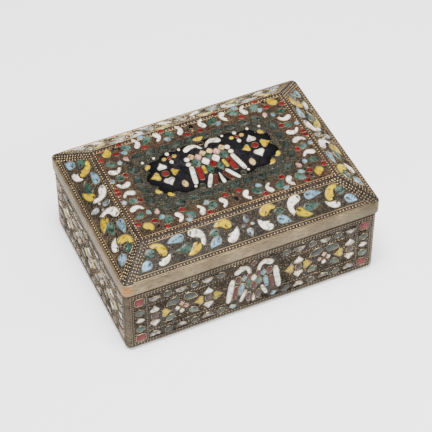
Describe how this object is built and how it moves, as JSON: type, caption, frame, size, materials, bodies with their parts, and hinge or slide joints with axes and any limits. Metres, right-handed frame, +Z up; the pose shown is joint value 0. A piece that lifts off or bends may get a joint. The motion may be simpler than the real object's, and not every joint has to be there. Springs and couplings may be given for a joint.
{
  "type": "cloisonne enamel box",
  "caption": "Rectangular lidded box with a hipped lift-off lid, bead-wire borders and coloured enamel cells of whorls, flowers and double-headed birds.",
  "frame": {"origin": "middle of the underside", "axes": "+X along the length, +Z up, front with the bird towards -Y"},
  "size_m": [0.13, 0.0926, 0.0561],
  "materials": {
    "enamelled_walls": "aged brass sheet covered with fine wire scrolls and domed opaque enamel cells, dark between",
    "enamelled_lid": "plain worn satin brass rim band; wire scrolls and domed opaque enamel cells above",
    "enamel": "opaque vitreous enamel in white, yellow, green, light blue and red, glossy, slightly pitted"
  },
  "bodies": {
    "root": {"box_body": "enamelled_walls", "box_lid": "enamelled_lid"}
  },
  "joints": []
}
